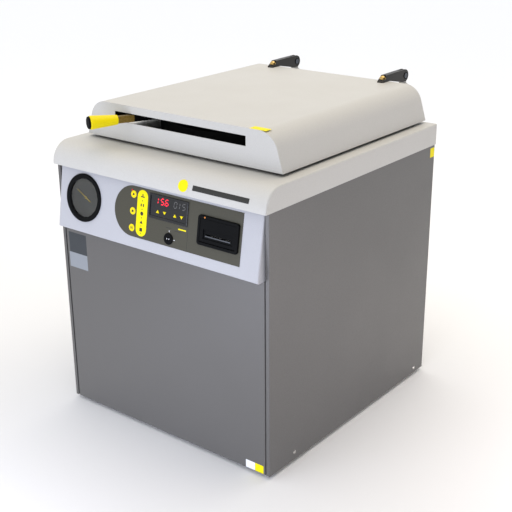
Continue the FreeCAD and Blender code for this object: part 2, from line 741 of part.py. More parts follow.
def make_printer():
    """Strip printer: rounded bezel, drop-down door with tear bar, case and paper roll."""
    left, right, low, high = D.print_left, D.print_right, D.print_low, D.print_high
    rim = D.print_rim
    proud = D.print_proud
    bezel = new_body("printer_bezel")
    outline = new_sketch(bezel, "XY_Plane", D.overlay_thick)
    rectangle(outline, left, low, right, high)
    pad(bezel, outline, proud - D.overlay_thick)
    fillet(bezel, 6, lambda box: box.XLength < 0.01 and box.YLength < 0.01)
    fillet(bezel, 1.5, lambda box: near(box.ZMin, proud))
    mouth = new_sketch(bezel, "XY_Plane", proud)
    rectangle(mouth, left + rim, low + rim, right - rim, high - rim)
    pocket(bezel, mouth)
    on_fascia(bezel)

    case = new_body("printer_case")
    shell = new_sketch(case, "XY_Plane", -D.print_deep)
    rectangle(shell, left + 4, low + 4, right - 4, high - 4)
    pad(case, shell, D.print_deep + D.overlay_thick)
    inside = new_sketch(case, "XY_Plane", 2 - D.print_deep)
    rectangle(inside, left + 6, low + 6, right - 6, high - 6)
    pocket(case, inside, D.print_deep * 2, backwards=True)
    spindle = new_sketch(case, "YZ_Plane", left + 5)
    circle(spindle, (low + high) / 2, -D.print_deep / 2, 5.95)
    pad(case, spindle, right - left - 10)
    on_fascia(case)

    roll = new_body("paper_roll")
    disc = new_sketch(roll, "YZ_Plane")
    circle(disc, 0, 0, D.roll_rad)
    circle(disc, 0, 0, 6)
    pad(roll, disc, D.roll_long, symmetric=True)
    middle = (low + high).value / 2
    on_fascia(roll, (left + right) / 2, middle)
    inward = fascia_turn.multVec(Vector(0, 0, -D.print_deep.value / 2))
    roll.Placement = FreeCAD.Placement(roll.Placement.Base.add(inward), roll.Placement.Rotation)

    door = new_body("printer_door")
    hinge_low = low + rim + 0.5
    panel = new_sketch(door, "XY_Plane", 0.4)
    rectangle(panel, left + rim + 0.5, hinge_low, right - rim - 0.5, high - rim - 0.7)
    pad(door, panel, 4.2)
    fillet(door, 2, lambda box: near(box.YMax, hinge_low) and box.XLength > 10)
    recess = new_sketch(door, "XY_Plane", 4.6)
    rectangle(recess, left + 15, low + 13.5, right - 13, low + 32)
    pocket(door, recess, 2)
    slot = new_sketch(door, "XY_Plane", 4.6)
    rectangle(slot, left + 20, low + 21, right - 18, low + 23)
    pocket(door, slot)
    on_fascia(door)

    bar = new_body("tear_bar")
    strip = new_sketch(bar, "XY_Plane", 2.6)
    rectangle(strip, left + 20, low + 18, right - 18, low + 20.4)
    pad(bar, strip, 1.5)
    on_fascia(bar)


def make_control_board():
    """Circuit board behind the keys and display."""
    body = new_body("control_board")
    outline = new_sketch(body, "XY_Plane", -24)
    rectangle(outline, -98, 26, 114, 118)
    pad(body, outline, 1.6)
    chips = new_sketch(body, "XY_Plane", -24)
    rectangle(chips, -60, 80, -30, 100)
    rectangle(chips, 10, 84, 60, 104)
    rectangle(chips, 72, 34, 104, 62)
    pad(body, chips, 7, backwards=True)
    on_fascia(body)


# ---------------------------------------------------------------- pressure chamber

def make_chamber():
    """Chamber with its dished floor, neck with bayonet lugs, skirt, jacket, heater and grid."""
    rad = D.chamber_rad
    wall = D.chamber_wall
    floor = D.chamber_floor
    dish = D.chamber_dish
    vessel = turned("chamber_vessel", [
        (0, floor - dish), (rad * 0.55, floor - dish * 0.86), (rad * 0.86, floor - dish * 0.5), (rad, floor),
        (rad, neck_base), (rad + wall, neck_base), (rad + wall, floor - 1),
        (rad * 0.88 + wall, floor - dish * 0.5 - wall), (rad * 0.56 + 1, floor - dish * 0.86 - wall),
        (0, floor - dish - wall)])
    stub_rad = D.heater_tube - 0.5
    glands = new_sketch(vessel, "XY_Plane")
    for side in (-1, 1):
        circle(glands, -heater_rad, 14 * side, stub_rad)
    pocket(vessel, glands, floor, backwards=True)
    place(vessel, 0, D.chamber_y, 0)

    neck = turned("chamber_neck", [(rad, neck_base), (neck_rad, neck_base), (neck_rad, seal_face),
                                   (rad + 1, seal_face), (rad, seal_face - 1)])
    lug = new_sketch(neck, "XZ_Plane")
    rectangle(lug, neck_rad - 1, seal_face - D.lug_tall, lug_rad, seal_face)
    wing = revolve(neck, lug, D.lug_angle, symmetric=True)
    around(neck, wing, 4)
    place(neck, 0, D.chamber_y, 0, Rotation(Vector(0, 0, 1), 45))

    outer = rad + wall
    skirt = tube("chamber_skirt", 0, D.chamber_y, D.foot_tall + D.tray_thick, floor + 40, outer + 2.5, outer)
    holes = new_sketch(skirt, "XZ_Plane")
    circle(holes, 0, 70, 28)
    window = pocket(skirt, holes, D.cab_wide, backwards=True)
    around(skirt, window, 4)
    jacket_low = floor + D.jacket_rise
    tube("insulation_jacket", 0, D.chamber_y, jacket_low, jacket_low + jacket_tall, jacket_rad, outer)

    grid = new_body("basket_grid")
    disc = new_sketch(grid, "XY_Plane", floor - 10)
    circle(disc, 0, 0, plate_rad)
    pad(grid, disc, 2)
    leg_low = dish * 0.5 + 1
    legs = new_sketch(grid, "XY_Plane", floor - leg_low)
    circle(legs, rad * 0.86 - 7.6, 0, 4)
    leg = pad(grid, legs, leg_low - 9.5)
    around(grid, leg, 3)
    for count, radius in ((6, plate_rad - 102), (12, plate_rad - 62), (18, plate_rad - 18)):
        hole = new_sketch(grid, "XY_Plane", floor - 10)
        circle(hole, radius, 0, 8)
        cut = pocket(grid, hole, 4, backwards=True)
        around(grid, cut, count)
    place(grid, 0, D.chamber_y, 0)

    loop = doc.addObject("Part::Torus", "heater_loop")
    bind(loop, "Radius1", heater_rad)
    bind(loop, "Radius2", D.heater_tube)
    place(loop, 0, D.chamber_y, floor - 20)
    stubs = []
    for side in (-1, 1):
        stubs.append(cylinder("heater_stub", stub_rad, 64, -heater_rad, D.chamber_y + 14 * side,
                              floor - 20 - 64))
    group("heater_element", [loop] + stubs)


# ---------------------------------------------------------------- lid and lock ring

def make_lid_cover():
    """Folded lid cover: leaning sides, rounded shoulders, flat ends and the lever slot."""
    body = new_body("lid_cover")
    half = D.lid_wide / 2
    thick = D.lid_thick
    length = D.lid_front + D.lid_rear
    outline = new_sketch(body, "XZ_Plane")
    polygon(outline, [(-half, 0), (half, 0), (half - D.lid_lean, D.lid_tall),
                      (D.lid_lean - half, D.lid_tall)])
    pad(body, outline, length)
    fillet(body, D.lid_round, lambda box: box.YLength > 100 and near(box.ZMin, D.lid_tall))
    flank = half - D.lid_lean
    inner = new_sketch(body, "XZ_Plane", thick)
    crown = D.lid_tall - thick
    polygon(inner, [(thick - half, -1), (half - thick, -1), (flank - thick + 10.6, crown - 38),
                    (flank - 3.4, crown - 18.5), (flank - 14.2, crown - 6), (flank - 32, crown),
                    (32 - flank, crown), (14.2 - flank, crown - 6), (3.4 - flank, crown - 18.5),
                    (thick - flank - 10.6, crown - 38)])
    pocket(body, inner, length - thick * 2, backwards=True)
    slot = new_sketch(body, "XZ_Plane", length - thick * 2)
    rectangle(slot, -D.slot_wide / 2 - 4, D.slot_rise, D.slot_wide / 2, D.slot_rise + D.slot_tall)
    pocket(body, slot, thick * 4, backwards=True)
    holes = new_sketch(body, "XY_Plane", D.lid_tall)
    for side in (-1, 1):
        circle(holes, (D.arm_out - D.arm_wide / 2) * side, D.arm_tip + 11 - D.lid_rear, 4)
    pocket(body, holes, 5)
    place(body, 0, D.lid_rear, lid_base)


def make_lid_plate():
    """Dished pressure plate with the shoulder the lock ring turns on, its seal, keeper and posts."""
    bore = ring_bore
    rim = press_rad
    under = seal_face + 4
    shoulder = under + 21.7
    boss = shoulder + 6.7
    plate = turned("pressure_plate", [
        (0, under + 10), (bore - 10, under + 10), (bore + 6, under), (rim, under), (rim, under + 16),
        (bore + 22, under + 16), (bore + 22, shoulder), (bore, shoulder), (bore, boss),
        (bore - 12, boss), (bore - 20, shoulder + 0.3), (0, shoulder + 0.3)])
    place(plate, 0, D.chamber_y, 0)
    tube("lid_gasket", 0, D.chamber_y, seal_face, under, neck_rad - 0.5, D.chamber_rad + 1)
    tube("ring_keeper", 0, D.chamber_y, boss, boss + 3, bore + 8, bore - 12)
    pieces = []
    for across in (-1, 1):
        for back in (-1, 1):
            pieces.append(cylinder("lid_post_piece", 7, lid_top - D.lid_thick - shoulder - 0.3,
                                   size(70) * across, D.chamber_y + 70 * back, shoulder + 0.3))
    group("lid_posts", pieces)


def make_lock_ring():
    """Lock ring round the pressure plate: web, skirt and four lugs that turn under the neck lugs."""
    bore = ring_bore + D.pin_gap
    outer = ring_in + D.ring_thick
    web_low = seal_face + 26
    bottom = seal_face - D.lug_tall - 2 - D.ring_lug_tall
    body = turned("lock_ring", [(bore, web_low), (ring_in, web_low), (ring_in, bottom),
                                (outer, bottom), (outer, web_low + 6), (bore, web_low + 6)])
    lug = new_sketch(body, "XZ_Plane")
    rectangle(lug, ring_lug, bottom, ring_in + 1, bottom + D.ring_lug_tall)
    wing = revolve(body, lug, D.ring_lug_angle, symmetric=True)
    around(body, wing, 4)
    place(body, 0, D.chamber_y, 0, Rotation(Vector(0, 0, 1), 45 - D.ring_turn.value))
    return web_low + 6


def make_lever(web_top):
    """Locking lever: flat bar bolted to the lock ring, tapered grip and its end cap."""
    turn = Rotation(Vector(0, 0, 1), -90 - D.lever_angle.value)
    axis = lid_base + D.lever_rise
    half = D.lever_broad / 2
    bar = new_body("lever_bar")
    low = axis - D.lever_tall / 2
    high = axis + D.lever_tall / 2
    side = new_sketch(bar, "XZ_Plane")
    polygon(side, [(lever_root, web_top), (lever_root + 36, web_top), (lever_root + 42, low),
                   (D.grip_start + 2, low), (D.grip_start + 2, high), (lever_root, high)])
    pad(bar, side, D.lever_broad, symmetric=True)
    tang = new_sketch(bar, "YZ_Plane", D.grip_start + 1)
    circle(tang, 0, axis, half)
    pad(bar, tang, D.grip_end - D.grip_start - 14)
    place(bar, 0, D.chamber_y, 0, turn)

    end = D.grip_end - 4
    start = D.grip_start + 2
    grip = new_body("lever_grip")
    profile = new_sketch(grip, "XZ_Plane")
    polygon(profile, [(start, half), (start, D.grip_small - 1), (start + 1.5, D.grip_small),
                      (end - 3, D.grip_big), (end, D.grip_big - 0.6), (end, 0), (end - 7, 0),
                      (end - 7, half)])
    revolve(grip, profile, axis="H_Axis")
    cap = new_body("grip_cap")
    rim = new_sketch(cap, "XZ_Plane")
    polygon(rim, [(end, 0), (end, D.grip_big - 1.2), (D.grip_end - 1, D.grip_big - 1.6),
                  (D.grip_end, D.grip_big - 3.4), (D.grip_end, 0)])
    revolve(cap, rim, axis="H_Axis")
    for piece in (grip, cap):
        place(piece, 0, D.chamber_y, axis, turn)


# ---------------------------------------------------------------- hinge

def make_hinge_arm(label, side):
    """Black arm bolted to the lid; its rear end is a fork with a round eye on the hinge pin."""
    body = new_body(label)
    tip = D.arm_tip
    start = D.arm_out - D.arm_wide if side > 0 else -D.arm_out
    outline = new_sketch(body, "YZ_Plane", start)
    polygon(outline, [(tip, lid_top), (tip, lid_top + 2), (tip + 16, lid_top + 14.5),
                      (tip + 60, lid_top + 15.2), (D.hinge_y, pivot_z + D.arm_eye),
                      (D.hinge_y, pivot_z - D.arm_eye),
                      (D.hinge_y - 8, pivot_z - D.arm_eye), (D.lid_rear + 4, lid_top)])
    pad(body, outline, D.arm_wide)
    eye = new_sketch(body, "YZ_Plane", start)
    circle(eye, D.hinge_y, pivot_z, D.arm_eye)
    pad(body, eye, D.arm_wide)
    fillet(body, 1.5, lambda box: box.XLength < 0.01 and box.YMax < D.hinge_y.value + 1
           and box.ZMin > lid_top.value + 14 and box.YLength > 30)
    bore = new_sketch(body, "YZ_Plane", start)
    circle(bore, D.hinge_y, pivot_z, D.pin_rad + D.pin_gap)
    pocket(body, bore, D.arm_wide * 3, backwards=True)
    fork = new_sketch(body, "YZ_Plane", start + (D.arm_wide - D.arm_slot) / 2)
    rectangle(fork, D.hinge_y - D.arm_eye - 4, pivot_z - D.arm_eye - 1, D.hinge_y + D.arm_eye + 1,
              pivot_z + D.arm_eye + 1)
    pocket(body, fork, D.arm_slot, backwards=True)
    for face, inward in ((start + D.arm_wide, False), (start, True)):
        sink = new_sketch(body, "YZ_Plane", face)
        circle(sink, D.hinge_y, pivot_z, D.pin_rad + 3.5)
        pocket(body, sink, 1.5, backwards=inward)
    middle = (D.arm_out - D.arm_wide / 2) * side
    seat = new_sketch(body, "XY_Plane", lid_top + 7)
    circle(seat, middle, tip + 11, 7.6)
    pocket(body, seat, 30, backwards=True)
    hole = new_sketch(body, "XY_Plane", lid_top - 1)
    circle(hole, middle, tip + 11, 4)
    pocket(body, hole, 30, backwards=True)
    place(body)


def make_arm_bolts():
    """Dome-headed bolts that hold the arms down on the lid."""
    pieces = []
    for side in (-1, 1):
        across = (D.arm_out - D.arm_wide / 2) * side
        back = D.arm_tip + 11
        shank = cylinder("arm_bolt_shank", 4, 15, across, back, lid_top - 8)
        dome = doc.addObject("Part::Sphere", "arm_bolt_dome")
        dome.Radius = 7.4
        dome.Angle1 = 0
        place(dome, across, back, lid_top + 7)
        pieces.extend([shank, dome])
    group("arm_bolts", pieces)


def make_hinge_post(label, side):
    """Painted bracket behind the cabinet: bolted foot, web and a tongue inside the arm's fork."""
    body = new_body(label)
    start = D.arm_out - D.arm_wide if side > 0 else -D.arm_out
    middle = (D.arm_out - D.arm_wide / 2) * side
    rear = half_deep + D.cover_rear
    foot = new_sketch(body, "XZ_Plane", -half_deep - D.base_thick)
    rectangle(foot, middle - D.base_wide / 2, panel_top - 110, middle + D.base_wide / 2, panel_top - 6)
    pad(body, foot, D.base_thick)
    fillet(body, 8, lambda box: box.XLength < 0.01 and box.ZLength < 0.01)
    web = new_sketch(body, "YZ_Plane", start)
    polygon(web, [(half_deep, panel_top - 104), (half_deep + 8, panel_top - 104),
                  (rear + 46, cover_top + 4), (D.hinge_y + 16, pivot_z - 46), (D.hinge_y + 16, pivot_z - 25),
                  (D.hinge_y + 9, pivot_z - 18.5), (D.hinge_y - 20, pivot_z - 18.5),
                  (rear + 16, cover_top + 30), (rear + 0.5, cover_top + 4), (rear + 0.5, panel_top - 6),
                  (half_deep, panel_top - 6)])
    pad(body, web, D.arm_wide)
    tongue_side = start + (D.arm_wide - D.arm_slot) / 2 + 0.2
    tongue = new_sketch(body, "YZ_Plane", tongue_side)
    polygon(tongue, [(D.hinge_y - 12, pivot_z - 20), (D.hinge_y + 12, pivot_z - 20),
                     (D.hinge_y + D.tongue_eye - 0.5, pivot_z), (D.hinge_y - D.tongue_eye + 0.5, pivot_z)])
    pad(body, tongue, D.arm_slot - 0.4)
    eye = new_sketch(body, "YZ_Plane", tongue_side)
    circle(eye, D.hinge_y, pivot_z, D.tongue_eye)
    pad(body, eye, D.arm_slot - 0.4)
    bore = new_sketch(body, "YZ_Plane", start)
    circle(bore, D.hinge_y, pivot_z, D.pin_rad)
    pocket(body, bore, D.arm_wide * 2, backwards=True)
    holes = new_sketch(body, "XZ_Plane", -half_deep - D.base_thick)
    for across in (-18, 18):
        for drop in (24, 96):
            circle(holes, middle + across, panel_top - drop, 3.5)
    pocket(body, holes, D.base_thick * 2, backwards=True)
    place(body)


def make_pivot_bolts():
    """Two bright shoulder bolts that the arms swing on, with a button head at each end."""
    pieces = []
    for side in (-1, 1):
        left = D.arm_out - D.arm_wide if side > 0 else -D.arm_out
        turn = Rotation(Vector(0, 1, 0), 90)
        pieces.append(cylinder("pivot_shank", D.pin_rad, D.arm_wide - 2.6, left + 1.3, D.hinge_y, pivot_z,
                               turn))
        for start in (left - 1.2, left + D.arm_wide - 1.3):
            pieces.append(cylinder("pivot_head", D.pin_rad + 1.2, 2.5, start, D.hinge_y, pivot_z, turn))
    group("pivot_bolts", pieces)


# ---------------------------------------------------------------- services at the rear

def make_services():
    """Drain valve with its quarter-turn lever, vent spout and mains inlet."""
    back = Rotation(Vector(1, 0, 0), -90)
    drain = turned("drain_valve", [(D.drain_bore, -70), (14, -70), (14, 0), (18, 0), (18, 6), (13, 6),
                                   (13, 20), (17, 22), (17, 44), (13, 46), (13, 66),
                                   (D.drain_bore, 66)])
    boss = new_sketch(drain, "XZ_Plane", 12)
    circle(boss, 0, 33, 7)
    pad(drain, boss, 11)
    place(drain, -D.drain_x, half_deep, D.drain_z, back)

    lever = new_body("drain_lever")
    hub = new_sketch(lever, "XY_Plane")
    circle(hub, 0, 0, 8)
    pad(lever, hub, 4)
    handle = new_sketch(lever, "XY_Plane", 1)
    rectangle(handle, -6, 0, 6, 62)
    pad(lever, handle, 3)
    fillet(lever, 5, lambda box: box.ZLength > 2.9 and box.YMin > 61.9)
    place(lever, -D.drain_x, half_deep + 33, D.drain_z + 23.2)

    vent = turned("vent_spout", [(D.vent_bore, -40), (9, -40), (9, 0), (15, 0), (15, 4), (9, 4), (9, 12),
                                 (7, 14), (7, 42), (D.vent_bore, 42)])
    place(vent, -D.vent_x, half_deep, D.vent_z, back)

    inlet = new_body("mains_inlet")
    flange = new_sketch(inlet, "XZ_Plane", -half_deep - 3)
    rectangle(flange, D.inlet_x - 32, D.inlet_z - 20, D.inlet_x + 32, D.inlet_z + 20)
    pad(inlet, flange, 3)
    shell = new_sketch(inlet, "XZ_Plane", -half_deep)
    rectangle(shell, D.inlet_x - 24, D.inlet_z - 16, D.inlet_x + 24, D.inlet_z + 16)
    pad(inlet, shell, 30)
    socket = new_sketch(inlet, "XZ_Plane", -half_deep - 3)
    rectangle(socket, D.inlet_x - 20, D.inlet_z - 12, D.inlet_x + 20, D.inlet_z + 12)
    pocket(inlet, socket, 20, backwards=True)
    pins = new_sketch(inlet, "XZ_Plane", 17 - half_deep)
    for across in (-10, 0, 10):
        rectangle(pins, D.inlet_x + across - 1, D.inlet_z - 3, D.inlet_x + across + 1, D.inlet_z + 3)
    pad(inlet, pins, 15, backwards=True)
    place(inlet)


# ---------------------------------------------------------------- build everything

make_feet()
make_base_tray()
make_side_panel("side_panel_left", -1)
make_side_panel("side_panel_right", 1)
make_front_panel()
make_rear_panel()
make_corner_posts()
make_panel_screws()
make_top_cover()
make_fascia_housing()
make_overlay()
make_indicator_strip()
make_status_led()
make_display()
make_round_keys()
make_key_switch()
make_gauge()
make_printer()
make_control_board()
make_chamber()
make_lid_cover()
make_lid_plate()
make_lever(make_lock_ring())
make_hinge_arm("hinge_arm_left", -1)
make_hinge_arm("hinge_arm_right", 1)
make_arm_bolts()
make_hinge_post("hinge_post_left", -1)
make_hinge_post("hinge_post_right", 1)
make_pivot_bolts()
make_services()
doc.recompute()

for thing in doc.Objects:
    if "Invalid" in thing.State or "Error" in thing.State:
        raise RuntimeError("%s did not build" % thing.Name)
for part in parts:
    if part.Shape.isNull() or not part.Shape.isValid():
        raise RuntimeError("%s has no valid shape" % part.Label)

os.makedirs("parts", exist_ok=True)
for part in parts:
    part.Shape.exportStep("parts/" + part.Label + ".step")
    box = part.Shape.BoundBox
    print("%-20s %2d solids  x %.1f..%.1f  y %.1f..%.1f  z %.1f..%.1f" % (
        part.Label, len(part.Shape.Solids), box.XMin, box.XMax, box.YMin, box.YMax, box.ZMin, box.ZMax))
print(len(parts), "sub-parts")
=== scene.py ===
"""Benchtop autoclave: finishes, printed details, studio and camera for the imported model."""
import json
import math

import bpy
import numpy as np
from mathutils import Matrix, Vector


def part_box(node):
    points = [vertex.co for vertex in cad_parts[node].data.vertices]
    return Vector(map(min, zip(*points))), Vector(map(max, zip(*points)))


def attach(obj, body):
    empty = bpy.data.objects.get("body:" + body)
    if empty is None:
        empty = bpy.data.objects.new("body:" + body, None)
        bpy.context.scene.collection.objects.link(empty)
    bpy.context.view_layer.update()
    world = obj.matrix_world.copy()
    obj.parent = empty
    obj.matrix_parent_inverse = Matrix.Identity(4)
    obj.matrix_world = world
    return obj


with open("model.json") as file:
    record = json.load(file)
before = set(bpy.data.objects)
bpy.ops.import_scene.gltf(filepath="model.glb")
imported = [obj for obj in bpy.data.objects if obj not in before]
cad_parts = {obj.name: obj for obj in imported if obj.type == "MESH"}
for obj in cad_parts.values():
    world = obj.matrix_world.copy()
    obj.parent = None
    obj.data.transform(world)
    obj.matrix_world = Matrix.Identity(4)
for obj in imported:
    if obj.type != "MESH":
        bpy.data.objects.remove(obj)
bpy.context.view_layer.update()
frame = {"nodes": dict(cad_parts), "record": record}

MM = 0.001


# ---------------------------------------------------------------- where things are

joints = {joint["name"]: joint for joint in frame["record"]["behaviour"]["joints"]}
SWITCH = Vector(joints["key_switch_turn"]["pos_m"])
INWARD = Vector(joints["key_switch_turn"]["axis"])
OUT = -INWARD
UP_SLOPE = Vector((0.0, -INWARD.z, INWARD.y))
# Places on the fascia, in mm across it and up its slope from its lower edge.
SWITCH_ACROSS = 45.5
SWITCH_UP = 38.8
GAUGE_ACROSS = -195.5
GAUGE_UP = 74.5
STRIP_ACROSS = -29.5
KEY_ACROSS = -55.0
KEY_UPS = {"top": 108.4, "middle": 74.6, "bottom": 40.6}
# Front faces, in mm out of the fascia.
OVERLAY_FRONT = 0.8
STRIP_FRONT = 1.3
KEY_FRONT = 1.2
WINDOW_FRONT = 1.4
BARREL_FRONT = 3.1
PRINTER_FRONT = 5.2
DIAL_FRONT = -6.0
SLOPE_FOOT = SWITCH - Vector((SWITCH_ACROSS * MM, 0, 0)) - UP_SLOPE * SWITCH_UP * MM


def on_slope(across, up, out):
    """Points on the fascia: across it, up its slope from the lower edge and out of it, in mm arrays."""
    across, up, out = np.broadcast_arrays(np.asarray(across, float), up, out)
    return (np.array(SLOPE_FOOT)
            + MM * across[..., None] * np.array((1.0, 0.0, 0.0))
            + MM * up[..., None] * np.array(UP_SLOPE)
            + MM * out[..., None] * np.array(OUT))


# ---------------------------------------------------------------- meshes

def make_piece(name, points, faces, body, finish, smooth=False):
    """A mesh object from points and faces that rides on a body and wears one finish."""
    mesh = bpy.data.meshes.new(name)
    mesh.from_pydata(points.reshape(-1, 3).tolist(), [], faces)
    mesh.materials.append(finish)
    mesh.polygons.foreach_set("use_smooth", np.full(len(mesh.polygons), smooth))
    mesh.update()
    piece = bpy.data.objects.new(name, mesh)
    bpy.context.scene.collection.objects.link(piece)
    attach(piece, body)
    return piece


def prism(outline, low, high, put):
    """Points and faces of flat plates: each outline (n, 2) lifted from low to high by put()."""
    points = []
    faces = []
    for ring in outline:
        count = len(ring)
        start = sum(len(part) for part in points)
        points.append(put(ring[:, 0], ring[:, 1], low))
        points.append(put(ring[:, 0], ring[:, 1], high))
        step = np.arange(count)
        after = (step + 1) % count
        sides = np.stack([step, after, after + count, step + count], 1) + start
        faces.extend(sides.tolist())
        faces.append((start + count + step).tolist())
        faces.append((start + step[::-1]).tolist())
    return np.concatenate(points), faces


def flat_piece(name, outlines, low, high, body, finish, put=on_slope):
    """Thin printed or stuck-on shapes; outlines run anticlockwise seen from outside."""
    points, faces = prism(outlines, low, high, put)
    return make_piece(name, points, faces, body, finish)


def strip_faces(rows):
    """Faces of a sheet whose points come in rows of two."""
    index = np.arange(rows * 2).reshape(-1, 2)
    return np.stack([index[:-1, 0], index[:-1, 1], index[1:, 1], index[1:, 0]], -1).tolist()


def thicken(sheet, thick, side):
    """Give a sheet its thickness in mm: side 1 grows outwards, side 0 both ways."""
    wall = sheet.modifiers.new("wall", "SOLIDIFY")
    wall.thickness = thick * MM
    wall.offset = side


def disc(across, up, radius, count=40):
    """Circle outline: centre plus radius times (cos, sin) of an even turn."""
    turn = np.linspace(0, 2 * np.pi, count, endpoint=False)
    return np.stack([across + radius * np.cos(turn), up + radius * np.sin(turn)], 1)


def bar(left, low, right, high, corner=0.0, count=6):
    """Rectangle outline whose corners are quarter circles of the given radius."""
    if corner <= 0:
        return np.array([(left, low), (right, low), (right, high), (left, high)], float)
    turn = np.linspace(0, np.pi / 2, count)
    quarters = []
    for step, (across, up) in enumerate(((right - corner, high - corner), (left + corner, high - corner),
                                         (left + corner, low + corner), (right - corner, low + corner))):
        angle = turn + step * np.pi / 2
        quarters.append(np.stack([across + corner * np.cos(angle), up + corner * np.sin(angle)], 1))
    return np.concatenate(quarters)


# ---------------------------------------------------------------- finishes

def sheen(code):
    """sRGB hex to linear red, green, blue and alpha."""
    channels = np.array([int(code[place:place + 2], 16) for place in (1, 3, 5)]) / 255.0
    linear = np.where(channels <= 0.04045, channels / 12.92, ((channels + 0.055) / 1.055) ** 2.4)
    return (*linear.tolist(), 1.0)


def add(tree, kind, inputs=None, **settings):
    """Add one shader node, set its properties, then set or link each named input."""
    node = tree.nodes.new(kind)
    for key, value in settings.items():
        setattr(node, key, value)
    for key, value in (inputs or {}).items():
        if isinstance(value, bpy.types.NodeSocket):
            tree.links.new(value, node.inputs[key])
        else:
            node.inputs[key].default_value = value
    return node


def new_finish(name):
    """An empty material with a shader on its output; gives the material, tree, shader and place."""
    finish = bpy.data.materials.new(name)
    finish.use_nodes = True
    tree = finish.node_tree
    tree.nodes.clear()
    shader = add(tree, "ShaderNodeBsdfPrincipled")
    add(tree, "ShaderNodeOutputMaterial", {"Surface": shader.outputs[0]})
    place = add(tree, "ShaderNodeTexCoord").outputs["Object"]
    return finish, tree, shader, place


def mixed_tone(tree, share, low, high):
    """Colour that goes from low to high with share; the mix node's colour sockets are 6 and 7."""
    return add(tree, "ShaderNodeMix", {0: share, 6: low, 7: high}, data_type="RGBA").outputs[2]


def grained(name, light, dark, grain, rough, lift, metallic=0.0, stretch=(1, 1, 1), blotch=90.0,
            rough_swing=0.06, coat=0.0, ior=1.5, gleam=0.5):
    """Two tones mixed by a fine grain, uneven gloss from broad patches, and a bump from the grain.

    grain and blotch are sizes in mm, lift is the height of the grain in mm."""
    finish, tree, shader, place = new_finish(name)
    turned = add(tree, "ShaderNodeMapping", {"Vector": place, "Scale": stretch})
    fine = add(tree, "ShaderNodeTexNoise", {"Vector": turned.outputs[0], "Scale": 1000.0 / grain,
                                            "Detail": 3.0, "Roughness": 0.6})
    broad = add(tree, "ShaderNodeTexNoise", {"Vector": place, "Scale": 1000.0 / blotch, "Detail": 2.0})
    spread = add(tree, "ShaderNodeMapRange", {"Value": fine.outputs["Fac"], "From Min": 0.3,
                                              "From Max": 0.7})
    tone = mixed_tone(tree, spread.outputs[0], sheen(dark), sheen(light))
    tree.links.new(tone, shader.inputs["Base Color"])
    gloss = add(tree, "ShaderNodeMapRange", {"Value": broad.outputs["Fac"], "From Min": 0.3, "From Max": 0.7,
                                             "To Min": rough - rough_swing, "To Max": rough + rough_swing})
    tree.links.new(gloss.outputs[0], shader.inputs["Roughness"])
    bump = add(tree, "ShaderNodeBump", {"Height": fine.outputs["Fac"], "Strength": 1.0,
                                        "Distance": lift * MM})
    tree.links.new(bump.outputs[0], shader.inputs["Normal"])
    shader.inputs["Metallic"].default_value = metallic
    shader.inputs["Coat Weight"].default_value = coat
    shader.inputs["Specular IOR Level"].default_value = gleam
    if not metallic:
        shader.inputs["IOR"].default_value = ior
    return finish


# Polyester powder coat on steel, sprayed and baked: satin white with a soft orange-peel ripple.
white_powder_coat = grained("white_powder_coat", "#c4c3bf", "#bfbeba", 2.6, 0.45, 0.012, rough_swing=0.05,
                            gleam=0.35)
# ABS moulding of the fascia: the same white, a little cooler and smoother.
white_abs = grained("white_abs", "#b4b5ba", "#afb0b5", 1.6, 0.4, 0.006, gleam=0.35)
# Textured epoxy coat on the side and front sheets: dark grey with a fine metallic speckle.
grey_textured_coat = grained("grey_textured_coat", "#6a6968", "#5f5e5d", 1.5, 0.36, 0.02, metallic=0.3,
                             blotch=160)
# Zinc-plated steel pressings: pale, slightly yellow, faint spangle.
zinc_plate = grained("zinc_plate", "#c9c3ae", "#aaa48f", 3.0, 0.33, 0.01, metallic=1.0)
# Dark chrome on the button heads of the hinge bolts.
dark_chrome = grained("dark_chrome", "#55585e", "#45484e", 1.2, 0.12, 0.002, metallic=1.0)
# Mustard paint on the thin pointer.
pointer_paint = grained("pointer_paint", "#d0b412", "#bda20e", 1.0, 0.5, 0.002, gleam=0.2)
# Hardened blade behind the printer's slot: dull grey steel.
dull_blade = grained("dull_blade", "#5c5e61", "#4f5154", 1.0, 0.5, 0.002, metallic=1.0)
# Bright nickel on turned screws and bolts.
bright_nickel = grained("bright_nickel", "#d6d4cf", "#bdbbb6", 1.2, 0.18, 0.004, metallic=1.0)
# Yellow-passivated dome bolts: gold with a brown tinge in patches.
gold_passivate = grained("gold_passivate", "#d7b878", "#a98749", 2.0, 0.25, 0.006, metallic=1.0)
# Screen-printed polyester film on the fascia: flat olive grey with a fine velvet texture.
olive_film = grained("olive_film", "#48463b", "#403f35", 0.9, 0.5, 0.006, gleam=0.3)
# Yellow ink printed on the same film.
yellow_film = grained("yellow_film", "#f4e400", "#ead900", 1.2, 0.5, 0.006, gleam=0.2)
# Yellow ABS mouldings: keys and the lever grip.
yellow_abs = grained("yellow_abs", "#f0dc00", "#e4ce00", 1.5, 0.45, 0.006, gleam=0.25)
# Black ABS with a fine spark-eroded texture: printer, gauge case, inlet.
black_abs = grained("black_abs", "#0b0c0e", "#08090a", 0.8, 0.6, 0.012, gleam=0.08)
# Polished black ABS of the controller bezel and its smoked window.
smoked_acrylic = grained("smoked_acrylic", "#1c1d20", "#191a1d", 4.0, 0.2, 0.001)
# Red diffusing lens of the lamp.
red_lens = grained("red_lens", "#d61c2c", "#b81020", 1.0, 0.25, 0.002, coat=0.4)
# Amber diffusing lens.
amber_lens = grained("amber_lens", "#e08a2c", "#c8741c", 1.0, 0.25, 0.002, coat=0.4)
# Matt dark print on the dial.
dial_print = grained("dial_print", "#373733", "#30302d", 1.0, 0.6, 0.002, gleam=0.2)
# Pale scale print on the dial.
scale_print = grained("scale_print", "#6e6a58", "#66624f", 1.0, 0.6, 0.001)
